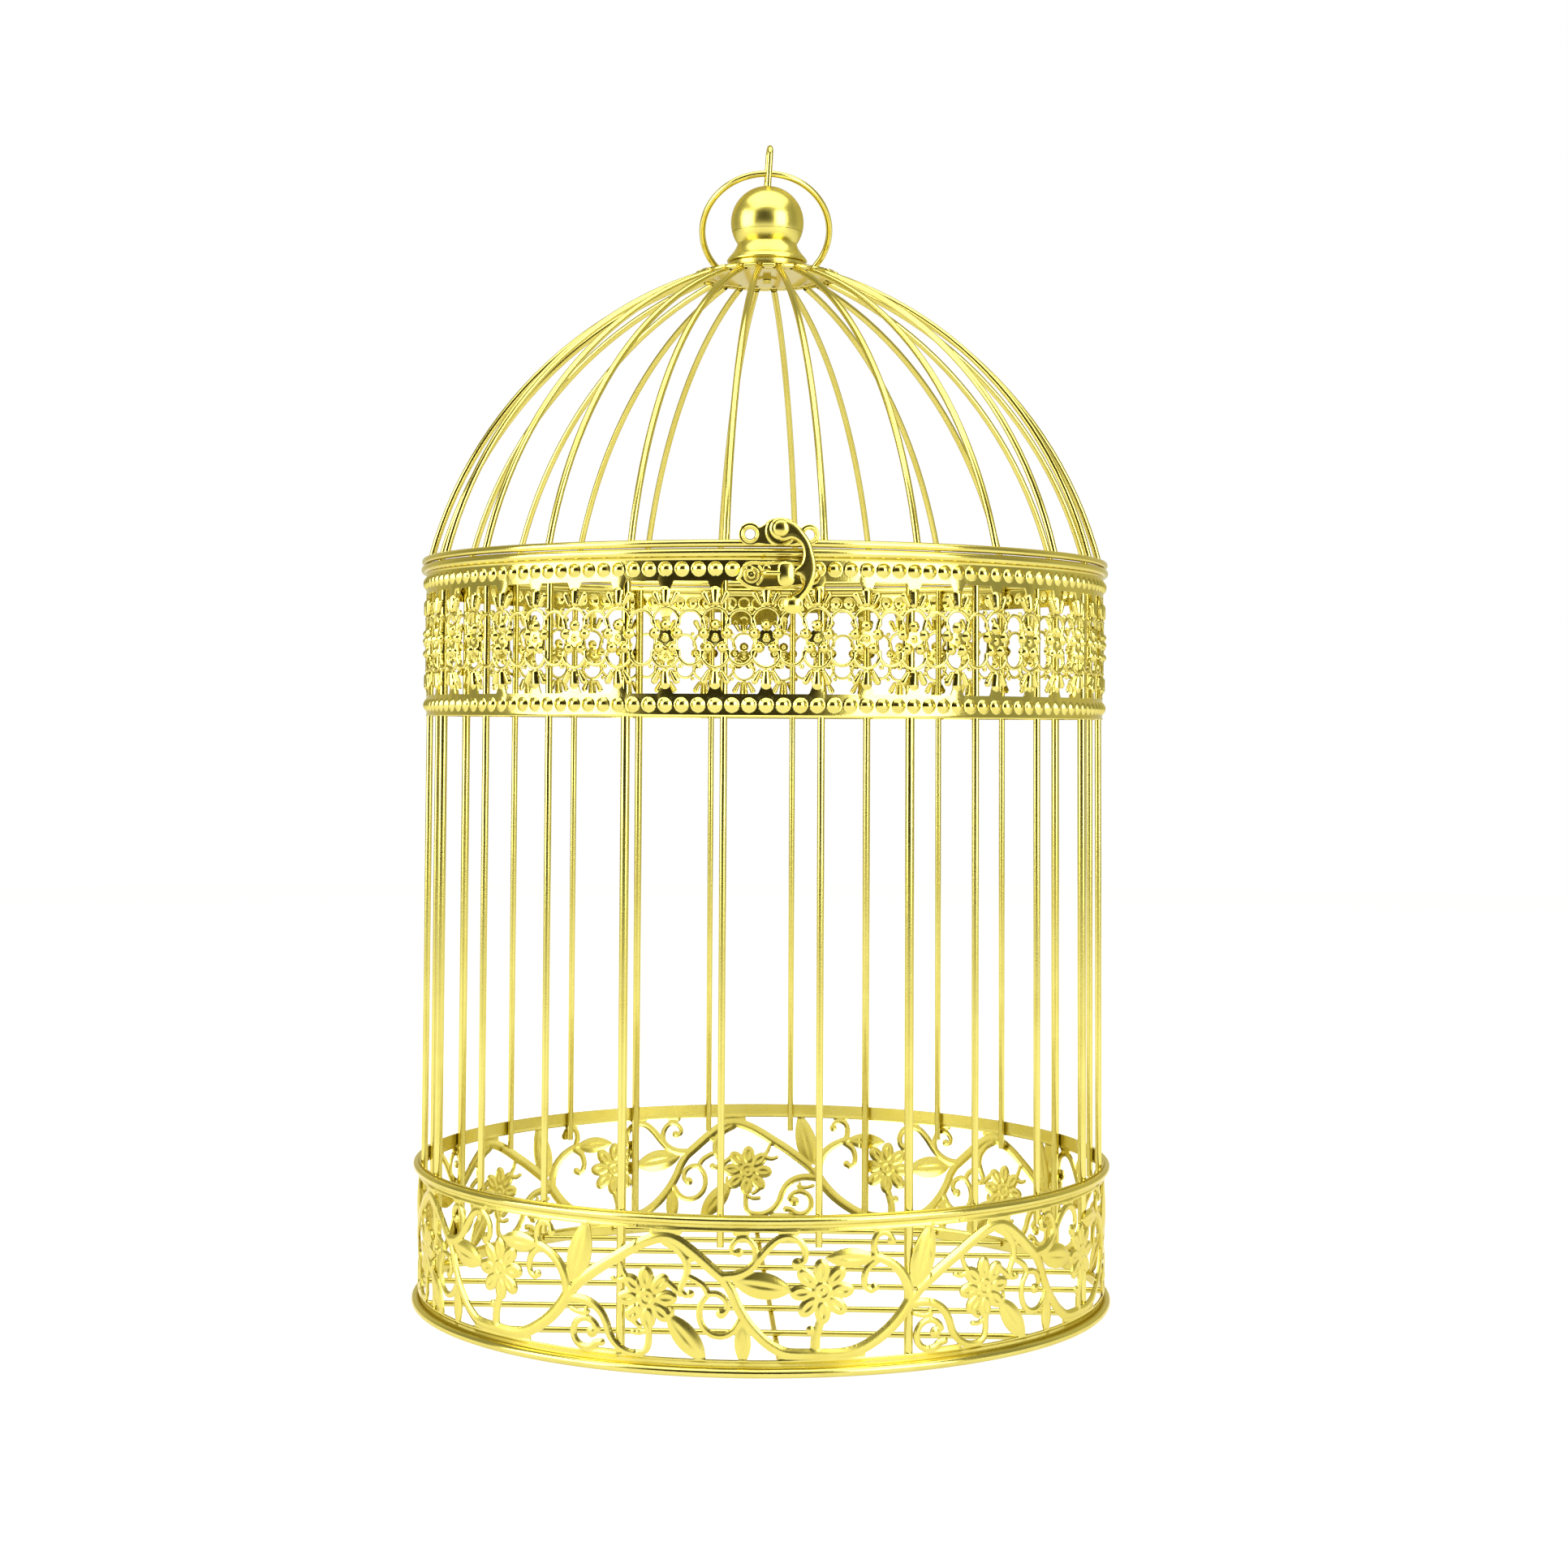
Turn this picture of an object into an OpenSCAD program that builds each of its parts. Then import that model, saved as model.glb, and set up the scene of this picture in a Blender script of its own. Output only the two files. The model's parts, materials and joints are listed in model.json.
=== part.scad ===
// Birdcage card box: wire cage with a hinged dome lid, front swing latch and hanging ring.
// Units are millimetres. Origin: centre of the base on the surface it stands on.
// +Z is up, -Y is the front (latch side), +X is to the right seen from the front.

/* [Base] */
// Height of the top edge of the base band's upper ring
base_h = 49.2; // [40:0.1:60]
// Radius of the bottom ring's wire centreline
base_ring_r = 119.95; // [110:0.05:130]
// Wire thickness of the bottom ring
base_ring_d = 3.0; // [2:0.1:4]
// Radius of the upper base ring's wire centreline
upper_ring_r = 119.45; // [110:0.05:130]
// Wire thickness of the upper base ring
upper_ring_d = 2.6; // [2:0.1:4]
// Outer radius of the floral base band
band_r = 118.6; // [110:0.1:130]
// Sheet thickness of both pierced bands
sheet_t = 0.7; // [0.5:0.1:1.2]

/* [Wires] */
// Number of upright wires and of dome wires
wire_n = 24; // [12:1:36]
// Angle of the first wire to the right of the latch
wire_phase = 6.9; // [0:0.1:15]
// Thickness of the thin upright and dome wires
wire_d = 2.2; // [1.5:0.1:3]
// Thickness of the eight posts
post_d = 2.8; // [2:0.1:4]
// Thickness of the floor wires
floor_d = 2.0; // [1.5:0.1:3]

/* [Body] */
// Outer radius of the lace band
lace_r = 116.6; // [110:0.1:125]
// Lower edge of the lace band
lace_z0 = 201.3; // [180:0.1:220]
// Height of the body rim ring's wire centre
rim_z = 251.1; // [240:0.1:260]
// Wire thickness of the body rim ring
rim_d = 2.8; // [2:0.1:4]
// Number of motifs around the lace band
lace_n = 47; // [40:1:54]

/* [Lid] */
// Height of the lid ring's wire centre
lid_z = 254.0; // [250:0.1:260]
// Wire thickness of the lid ring
lid_d = 2.2; // [1.5:0.1:3]
// Radius of the lid ring's and body rim ring's centreline
rim_r = 116.9; // [110:0.1:125]
// Bend radius of the dome wires
dome_bend = 143; // [120:1:180]
// Outer radius of the crown cap
crown_r = 25.4; // [20:0.1:30]
// Radius of the finial ball
ball_r = 12.6; // [8:0.1:16]
// Height of the finial ball's centre
ball_z = 372.7; // [360:0.1:390]

/* [Hardware] */
// Distance between the two holes of the hook plate
hole_gap = 18.1; // [14:0.1:24]
// Radius of the two holes of the hook plate
hole_r = 1.4; // [1:0.1:2.5]
// Radius of the hanging ring's centreline
ring_r = 22.3; // [15:0.1:30]
// Lean of the hanging ring from upright when it rests on the crown
ring_lean = 38.5; // [30:0.5:60]

/* [Hidden] */
$fn = 64;
big = 240;
upper_z = base_h - upper_ring_d / 2;
step_a = 360 / wire_n;
// centre of the circle every dome wire is bent along
arc_x = 114.5 - dome_bend * cos(15.5);
arc_z = 256.58 - dome_bend * sin(15.5);
lace_top = rim_z - 1.1;
crown_z = 353.3;
pivot_x = 0.2;
pivot_z = 258.2;
knob_x = 1.8;
knob_z = 244.4;
hook_y = 119.6;
hook_t = 1.5;
axis_y = 121.2;
axis_z = 252.7;
eye_z = 389.7;
// height where the two parts of the ball meet, and foot of the eye
seam_z = 369.3;
eye_foot = 385.3;
// how many degrees each upright was welded away from its even place
off_a = [-0.4, -1.1, -4.2, -5.1, -3.6, -5, -2.5, -1.2, 0.4, 0.7, 0.8, 0.6,
    1.4, 1, 0, -0.2, 0.9, 0, 0, -1.4, 0.5, 0.3, -0.8, -0.2];
// the eye stands turned and leaning a little
eye_twist = 4;
eye_lean = 3.3;
gold = [0.86, 0.78, 0.30];
brass = [0.62, 0.52, 0.16];

// a wire bent to a closed ring round Z
module wire_ring(r, z, d) {
    translate([0, 0, z]) rotate_extrude($fn = big) translate([r, 0]) circle(d = d);
}

// a thin upright tube
module shell(r_out, t, z0, z1) {
    translate([0, 0, z0]) difference() {
        cylinder(r = r_out, h = z1 - z0, $fn = big);
        translate([0, 0, -1]) cylinder(r = r_out - t, h = z1 - z0 + 2, $fn = big);
    }
}

// turns local X to point outwards at an angle from the latch (right is positive)
module around(a) {
    rotate([0, 0, a - 90]) children();
}

// a 2D outline drawn in front view (x right, y up) and pushed out along -Y
module front(y_in, y_out) {
    translate([0, -y_in, 0]) rotate([90, 0, 0]) linear_extrude(height = y_out - y_in) children();
}

// the same outline pushed through a band at an angle from the latch
module through(a, r_in, r_out) {
    rotate([0, 0, a]) front(r_in, r_out) children();
}

// straight wire between two points of the plane through the Z axis
module lean_wire(r0, z0, r1, z1, d) {
    len = sqrt((r1 - r0) * (r1 - r0) + (z1 - z0) * (z1 - z0));
    translate([r0, 0, z0]) rotate([0, atan2(r1 - r0, z1 - z0), 0]) cylinder(d = d, h = len);
}

module base_ring_lower() {
    color(gold) wire_ring(base_ring_r, base_ring_d / 2, base_ring_d);
}

module base_ring_upper() {
    color(gold) wire_ring(upper_ring_r, upper_z, upper_ring_d);
}

// petals round a disc
module flower_2d(x, y, r) {
    translate([x, y]) {
        circle(r = r * 0.55);
        for (i = [0:7]) rotate(i * 45) translate([r * 0.68, 0]) circle(r = r * 0.3);
    }
}

// pointed leaf: the overlap of two circles
module leaf_2d(x, y, a, long, wide) {
    big_r = (long * long + wide * wide) / (4 * wide);
    translate([x, y]) rotate(a) intersection() {
        translate([0, big_r - wide / 2]) circle(r = big_r);
        translate([0, wide / 2 - big_r]) circle(r = big_r);
    }
}

// one arch of the vine wave
module arch_2d(y, w, h, t) {
    r = w * w / (8 * h) + h / 2;
    translate([0, y + h - r]) difference() {
        circle(r = r + t / 2);
        circle(r = r - t / 2);
        translate([-2 * r, -3 * r - 1]) square([4 * r, 4 * r - h]);
    }
}

module base_filigree_band() {
    half = 180 / 7;
    color(gold) union() {
        shell(band_r, sheet_t, 1, 4.5);
        shell(band_r, sheet_t, base_h - 4.6, base_h + 0.5);
        for (i = [0:6]) {
            // crest arch with a flower hanging under it
            band_piece(-19 + i * 2 * half) {
                arch_2d(24, 54, 20, 3.2);
                flower_2d(0, 22, 9.8);
                leaf_2d(8, 9.4, -50, 17, 7);
                leaf_2d(-8.5, 9.6, 50, 16, 5);
            }
            // trough arch with a flower standing in it
            band_piece(-19 + (i * 2 + 1) * half) {
                translate([0, 48]) mirror([0, 1]) arch_2d(24, 54, 20, 3.2);
                flower_2d(0, 24, 9.8);
                leaf_2d(-14.5, 25, 0, 15.3, 7);
                leaf_2d(14, 31, 25, 15.3, 7);
                leaf_2d(-8.5, 38.4, -60, 17, 5);
                leaf_2d(8.5, 38.6, 60, 17, 5);
                translate([-1.2, 5]) square([2.4, 12]);
            }
        }
    }
}

// outlines cut out of the base band's sheet at one place
module band_piece(a) {
    intersection() {
        shell(band_r, sheet_t, 2, base_h - 1);
        through(a, 110, 125) union() children();
    }
}

// parallel floor wires, a little askew to the latch
module floor_wires() {
    color(gold) rotate([0, 0, -4.9])
        for (y = [-72, -36, 0, 30, 57, 80, 100]) {
            len = 2 * sqrt(117.9 * 117.9 - y * y);
            translate([-len / 2, y, 3.05]) rotate([0, 90, 0]) cylinder(d = floor_d, h = len);
        }
}

module floor_cross_wire() {
    color(gold) translate([2, 117.8, 1.15]) rotate([90, 0, 0]) cylinder(d = floor_d, h = 235.6);
}

// angle of an upright wire
function upright_a(i) = wire_phase + i * step_a + (i < len(off_a) ? off_a[i] : 0);

module posts() {
    color(gold) for (i = [1:3:wire_n - 1])
        around(upright_a(i)) lean_wire(116.9, 1.2, 114.65, 250.6, post_d);
}

module infill_wires() {
    color(gold) for (i = [0:wire_n - 1])
        if (i % 3 != 1)
            around(upright_a(i)) lean_wire(116.93, 39.5, 114.95, 250.5, wire_d);
}

// open shape between two neighbouring motifs
module stadium_2d(w, h) {
    square([w, h - w], center = true);
    translate([0, (h - w) / 2]) circle(d = w, $fn = 24);
    translate([0, (w - h) / 2]) circle(d = w, $fn = 24);
}

module lace_band() {
    pitch = 360 / lace_n;
    mid = (lace_z0 + lace_top) / 2;
    color(gold) difference() {
        shell(lace_r, sheet_t, lace_z0, lace_top);
        for (i = [0:lace_n - 1]) {
            through(-2.1 + (i + 0.5) * pitch, 112, 119) {
                translate([0, mid]) stadium_2d(7, 15);
                translate([-5, mid + 12]) square([10, 4.6]);
                translate([-5, mid - 16.6]) square([10, 4.6]);
            }
        }
        catch_rivet_places() cylinder(r = 0.9, h = 8);
    }
}

module body_rim_ring() {
    color(gold) wire_ring(rim_r, rim_z, rim_d);
}

module catch_rivet_places() {
    for (x = [-8.5, 10.3]) translate([x, -111, knob_z]) rotate([90, 0, 0]) children();
}

module catch_plate() {
    color(brass) difference() {
        union() {
            intersection() {
                shell(117.7, 1.2, 238, 252);
                front(105, 125) polygon([
                    [-12.8, 243.2], [-11.6, 246.6], [-9.8, 248.2], [-6.5, 248.7],
                    [6, 248.4], [9, 247.4], [9, 241.4], [6, 240.4],
                    [-2, 239.9], [-7, 239.7], [-9.6, 240.4], [-11, 242]
                ]);
            }
            intersection() {
                shell(117.7, 1.2, 239, 251);
                front(106, 124) translate([10.1, knob_z]) circle(r = 2.7);
            }
        }
        catch_rivet_places() cylinder(r = 0.9, h = 10);
    }
}

module catch_rivets() {
    color(brass) catch_rivet_places() {
        translate([0, 0, 4]) cylinder(r = 0.9, h = 2.6);
        translate([0, 0, 6.2]) cylinder(r1 = 1.6, r2 = 1.1, h = 0.7);
    }
}

// side arm and head the hook closes behind
module catch_stud() {
    color(brass) union() {
        translate([-5.2, -117.2, knob_z + 0.2]) rotate([90, 0, 0]) cylinder(d = 1.5, h = 4.2);
        translate([-3.2, -121.4, knob_z + 0.2])
            rotate_extrude(angle = 90, start = 180) translate([2, 0]) circle(d = 1.5);
        translate([-3.2, -123.4, knob_z + 0.2]) rotate([0, 90, 0]) cylinder(d = 1.5, h = 3.5);
        front(122.6, 124.4) translate([knob_x, knob_z]) union() {
            square([5, 4.6], center = true);
            square([2.4, 7.2], center = true);
            for (sx = [-1, 1]) for (sy = [-1, 1])
                translate([sx * 1.2, sy * 2.3]) circle(r = 1.3);
        }
    }
}

module hinge_leaf_body() {
    color(brass) difference() {
        union() {
            intersection() {
                shell(117.5, 1.0, 238, 249.4);
                translate([-9, 100, 237]) cube([18, 30, 14]);
            }
            for (x = [-9, -1.8, 5.6]) {
                translate([x, 117, 247.8]) cube([3.5, axis_y - 117, 1.6]);
                translate([x, 119.5, 247.8]) cube([3.5, axis_y - 119.5, axis_z - 247.8]);
                translate([x, axis_y, axis_z]) rotate([0, 90, 0]) cylinder(r = 2, h = 3.5);
            }
        }
        translate([-20, axis_y, axis_z]) rotate([0, 90, 0]) cylinder(r = 0.9, h = 40);
        for (x = [-6, 6]) translate([x, 125, 243]) rotate([90, 0, 0]) cylinder(r = 0.9, h = 12);
    }
}

module hinge_rivets() {
    color(brass) for (x = [-6, 6]) {
        translate([x, 117.6, 243]) rotate([90, 0, 0]) cylinder(r = 0.9, h = 1.4);
        translate([x, 117.3, 243]) rotate([-90, 0, 0]) cylinder(r1 = 1.7, r2 = 1.1, h = 0.8);
    }
}

module hinge_pin() {
    color(brass) union() {
        translate([-9.8, axis_y, axis_z]) rotate([0, 90, 0]) cylinder(r = 0.9, h = 19.6);
        for (x = [-10.5, 9.5]) translate([x, axis_y, axis_z]) rotate([0, 90, 0]) cylinder(r = 1.5, h = 1);
    }
}

module hinge_leaf_lid() {
    color(brass) difference() {
        union() {
            intersection() {
                shell(118.8, 1.0, 253.2, 264);
                translate([-9, 100, 250]) cube([18, 30, 20]);
            }
            for (x = [-5.1, 2.1]) {
                translate([x, 117.9, 253.3]) cube([3, axis_y - 117.9, 1.3]);
                translate([x, axis_y, axis_z]) rotate([0, 90, 0]) cylinder(r = 2, h = 3);
            }
        }
        translate([-20, axis_y, axis_z]) rotate([0, 90, 0]) cylinder(r = 0.95, h = 40);
    }
}

module lid_ring() {
    color(gold) wire_ring(rim_r, lid_z, lid_d);
}

module dome_wires() {
    a0 = 14.7;
    a1 = 70.9;
    color(gold) for (i = [0:wire_n - 1])
        around(wire_phase + i * step_a) translate([arc_x, 0, arc_z]) rotate([90, 0, 0])
            rotate_extrude(angle = a1 - a0, start = a0, $fn = big)
                translate([dome_bend, 0]) circle(d = wire_d, $fn = 32);
}

module crown_cap() {
    z = crown_z;
    color(gold) rotate_extrude($fn = 128) polygon([
        [crown_r - 0.8, z], [crown_r, z], [crown_r, z + 1.3], [14, z + 4.1],
        [1.5, z + 4.1], [1.5, z + 3.3], [13.8, z + 3.3], [crown_r - 1.4, z + 0.8],
        [crown_r - 1.4, z + 0.5], [3.7, z + 0.5], [3.7, z]
    ]);
}

module crown_washer() {
    color(gold) translate([0, 0, crown_z + 2.3]) difference() {
        cylinder(r = 6, h = 1);
        translate([0, 0, -1]) cylinder(r = 1.5, h = 3);
    }
}

module crown_nut() {
    color(brass) translate([0, 0, crown_z - 0.3]) difference() {
        cylinder(r = 3.4, h = 2.6, $fn = 6);
        translate([0, 0, -1]) cylinder(r = 1.5, h = 5);
    }
}

module finial_collar() {
    z = crown_z + 4.1;
    color(gold) difference() {
        rotate_extrude($fn = 128) difference() {
            union() {
                square([12.4, 2.2]);
                translate([12.9, 2.1]) circle(r = 1);
                translate([0, 2.1]) square([12.9, 6.3]);
            }
            translate([20, 10.5]) circle(r = 10);
            translate([10.2, 8]) square([8, 6]);
        }
        translate([0, 0, -1]) cylinder(r = 11, h = 2.2);
        translate([0, 0, -1]) cylinder(r = 1.5, h = 12);
        translate([0, 0, ball_z - z]) sphere(r = ball_r, $fn = 128);
    }
}

module finial_collar_placed() {
    translate([0, 0, crown_z + 4.1]) finial_collar();
}

module ball_shell() {
    difference() {
        translate([0, 0, ball_z]) sphere(r = ball_r, $fn = 128);
        translate([0, 0, ball_z]) sphere(r = ball_r - 1, $fn = 128);
        translate([0, 0, ball_z - 20]) cylinder(r = 1.5, h = 40);
    }
}

module finial_ball_lower() {
    color(gold) intersection() {
        ball_shell();
        translate([-20, -20, seam_z - 30]) cube([40, 40, 30]);
    }
}

module finial_ball_upper() {
    color(gold) intersection() {
        ball_shell();
        translate([-20, -20, seam_z]) cube([40, 40, 30]);
    }
}

// threaded rod with a long closed eye bent at its top, its lower end inside the ball
module eye_bolt() {
    color(gold) union() {
        translate([0, 0, crown_z - 1.8]) cylinder(r = 1.5, h = eye_foot - crown_z + 1);
        translate([0, 0, eye_foot]) rotate([0, 0, eye_twist]) rotate([0, eye_lean, 0]) {
            for (y = [-2.9, 2.9]) translate([0, y, -1.5]) cylinder(d = 2.0, h = 11.8);
            translate([0, 0, 10.3]) rotate([0, -90, 0])
                rotate_extrude(angle = 180, start = -90) translate([2.9, 0]) circle(d = 2.0);
            translate([0, 0, -1.5]) rotate([0, -90, 0])
                rotate_extrude(angle = 180, start = 90) translate([2.9, 0]) circle(d = 2.0);
        }
    }
}

module hook_plate() {
    y = 256.6;
    color(brass) difference() {
        union() {
            intersection() {
                shell(118.9, 1.1, 252.7, 262);
                front(105, 125) union() {
                    for (s = [-1, 1]) translate([s * hole_gap / 2, y]) circle(r = 3.3);
                    translate([-hole_gap / 2, 253.2]) square([hole_gap, 4.6]);
                    translate([pivot_x, 256.6]) circle(r = 4.6);
                }
            }
            front(118.2, 119.2) translate([pivot_x, 257.2]) circle(r = 3.9);
        }
        for (s = [-1, 1]) front(110, 125) translate([s * hole_gap / 2, y]) circle(r = hole_r);
        front(110, 125) translate([pivot_x, pivot_z]) circle(r = 1.2);
    }
}

module hook_rivet() {
    color(brass) translate([pivot_x, -117.7, pivot_z]) rotate([90, 0, 0]) union() {
        cylinder(r = 1.2, h = 4.2);
        translate([0, 0, 3.8]) cylinder(r = 2.4, h = 0.5);
        translate([0, 0, 4.3]) intersection() {
            translate([0, 0, -2.4]) sphere(r = 3.394);
            cylinder(r = 3, h = 2);
        }
    }
}

module clasp_hook() {
    c = [-2.5, 248];
    color(brass) union() {
        front(hook_y, hook_y + hook_t) difference() {
            union() {
                translate([pivot_x, pivot_z]) circle(r = 3.2);
                translate(c) intersection() {
                    difference() {
                        circle(r = 13.1);
                        circle(r = 10);
                    }
                    polygon([[0, 0], [8, 20], [30, 20], [30, -20], [9, -16]]);
                }
                polygon([[1, 261.2], [4.6, 259], [4.6, 255.4], [0.6, 255]]);
                polygon([[7.9, 248.6], [4.5, 246.2], [4.5, 244.9], [6.2, 244.3], [7.9, 242.2]]);
                polygon([[6.4, 240.6], [1.6, 236.6], [5, 233.6], [9.6, 239]]);
                translate([3.9, 235.7]) circle(r = 2.7);
            }
            translate([pivot_x, pivot_z]) circle(r = 1.26);
        }
        translate([3.9, -hook_y - hook_t, 235.7]) rotate([90, 0, 0]) intersection() {
            translate([0, 0, -6.6]) sphere(r = 7.13);
            cylinder(r = 2.7, h = 1);
        }
    }
}

module hanging_ring() {
    color(gold) translate([0, 0, eye_z]) rotate([ring_lean, 0, 0])
        translate([0, 0, -ring_r]) rotate([90, 0, 0])
            rotate_extrude($fn = 128) translate([ring_r, 0]) circle(d = wire_d);
}

base_ring_lower();
base_ring_upper();
base_filigree_band();
floor_wires();
floor_cross_wire();
posts();
infill_wires();
lace_band();
body_rim_ring();
catch_plate();
catch_rivets();
catch_stud();
hinge_leaf_body();
hinge_rivets();
hinge_pin();
hinge_leaf_lid();
lid_ring();
dome_wires();
crown_cap();
crown_washer();
crown_nut();
finial_collar_placed();  // finial_collar
finial_ball_lower();
finial_ball_upper();
eye_bolt();
hook_plate();
hook_rivet();
clasp_hook();
hanging_ring();
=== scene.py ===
import bpy
import json
import math
import numpy as np
from mathutils import Matrix, Vector


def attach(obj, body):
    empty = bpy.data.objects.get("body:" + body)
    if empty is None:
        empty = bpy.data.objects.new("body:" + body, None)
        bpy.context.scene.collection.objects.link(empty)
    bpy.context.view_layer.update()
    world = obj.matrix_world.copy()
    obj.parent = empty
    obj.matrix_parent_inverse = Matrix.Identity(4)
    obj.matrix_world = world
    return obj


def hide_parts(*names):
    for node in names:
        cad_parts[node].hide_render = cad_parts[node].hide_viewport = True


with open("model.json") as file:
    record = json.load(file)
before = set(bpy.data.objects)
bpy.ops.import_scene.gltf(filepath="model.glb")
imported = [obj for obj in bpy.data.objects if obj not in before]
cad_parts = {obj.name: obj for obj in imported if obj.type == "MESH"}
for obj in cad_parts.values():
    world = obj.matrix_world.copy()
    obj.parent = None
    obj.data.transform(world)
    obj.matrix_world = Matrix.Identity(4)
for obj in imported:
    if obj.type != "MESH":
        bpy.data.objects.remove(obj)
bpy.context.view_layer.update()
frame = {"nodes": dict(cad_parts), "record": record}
MM = 0.001


# ---------------------------------------------------------------- materials

# sockets of a Mix node set to colours
FACTOR = 0
COLOUR_A = 6
COLOUR_B = 7
MIXED = 2


def metal(name, colour, dark, rough, rough_var, bump, bump_scale, coat):
    """Painted or bare metal with slight colour and gloss changes over the surface."""
    mat = bpy.data.materials.new(name)
    mat.use_nodes = True
    tree = mat.node_tree
    tree.nodes.clear()
    out = tree.nodes.new("ShaderNodeOutputMaterial")
    bsdf = tree.nodes.new("ShaderNodeBsdfPrincipled")
    coord = tree.nodes.new("ShaderNodeTexCoord")
    cloud = tree.nodes.new("ShaderNodeTexNoise")
    cloud.inputs["Scale"].default_value = 60.0
    cloud.inputs["Detail"].default_value = 4.0
    grain = tree.nodes.new("ShaderNodeTexNoise")
    grain.inputs["Scale"].default_value = bump_scale
    grain.inputs["Detail"].default_value = 3.0
    mix = tree.nodes.new("ShaderNodeMix")
    mix.data_type = "RGBA"
    mix.inputs[COLOUR_A].default_value = (*colour, 1)
    mix.inputs[COLOUR_B].default_value = (*dark, 1)
    tone = tree.nodes.new("ShaderNodeMapRange")
    tone.inputs["From Min"].default_value = 0.45
    tone.inputs["From Max"].default_value = 0.8
    gloss = tree.nodes.new("ShaderNodeMapRange")
    gloss.inputs["From Min"].default_value = 0.3
    gloss.inputs["From Max"].default_value = 0.7
    gloss.inputs["To Min"].default_value = rough - rough_var
    gloss.inputs["To Max"].default_value = rough + rough_var
    relief = tree.nodes.new("ShaderNodeBump")
    relief.inputs["Strength"].default_value = bump
    relief.inputs["Distance"].default_value = 0.0002
    link = tree.links.new
    link(coord.outputs["Object"], cloud.inputs["Vector"])
    link(coord.outputs["Object"], grain.inputs["Vector"])
    link(cloud.outputs["Fac"], tone.inputs["Value"])
    link(tone.outputs["Result"], mix.inputs[FACTOR])
    link(mix.outputs[MIXED], bsdf.inputs["Base Color"])
    link(cloud.outputs["Fac"], gloss.inputs["Value"])
    link(gloss.outputs["Result"], bsdf.inputs["Roughness"])
    link(grain.outputs["Fac"], relief.inputs["Height"])
    link(relief.outputs["Normal"], bsdf.inputs["Normal"])
    bsdf.inputs["Metallic"].default_value = 1.0
    bsdf.inputs["Specular Tint"].default_value = (0.82, 0.72, 0.35, 1)
    bsdf.inputs["Coat Weight"].default_value = coat
    bsdf.inputs["Coat Roughness"].default_value = 0.1
    link(bsdf.outputs["BSDF"], out.inputs["Surface"])
    return mat


GOLD = metal("gold_paint", (0.64, 0.56, 0.14), (0.57, 0.48, 0.09),
             rough=0.13, rough_var=0.03, bump=0.08, bump_scale=2500.0, coat=0.5)
SPUN = metal("gold_spun", (0.66, 0.57, 0.125), (0.60, 0.50, 0.08),
             rough=0.27, rough_var=0.04, bump=0.08, bump_scale=2500.0, coat=0.5)
BRASS = metal("antique_brass", (0.66, 0.57, 0.125), (0.50, 0.40, 0.07),
              rough=0.18, rough_var=0.04, bump=0.08, bump_scale=1800.0, coat=0.5)


# ---------------------------------------------------------------- shapes as fields
# A field gives, for every point of a flat grid in millimetres, the distance to the
# edge of the shape (positive inside) and the height the sheet is pressed out by.

def curve(points, per=8):
    """Smooth line through the given points."""
    p = np.array(points, float)
    p = np.vstack([2 * p[0] - p[1], p, 2 * p[-1] - p[-2]])
    out = []
    for i in range(1, len(p) - 2):
        t = np.linspace(0, 1, per, endpoint=False)[:, None]
        a, b, c, d = p[i - 1], p[i], p[i + 1], p[i + 2]
        out.append(0.5 * (2 * b + (c - a) * t + (2 * a - 5 * b + 4 * c - d) * t ** 2
                          + (3 * b - a - 3 * c + d) * t ** 3))
    out.append(p[-2][None])
    return np.vstack(out)


def dome(d, half, high):
    """Round-topped profile: zero at the edge, high once half the width inside."""
    q = np.clip(d / half, 0, 1)
    return high * (1 - (1 - q) ** 2)


def soften(h, times):
    """Evens out the creases between shapes."""
    for _ in range(times):
        h = (np.roll(h, 1, 0) + 2 * h + np.roll(h, -1, 0)) / 4
        h[:, 1:-1] = (h[:, :-2] + 2 * h[:, 1:-1] + h[:, 2:]) / 4
    return h


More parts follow.
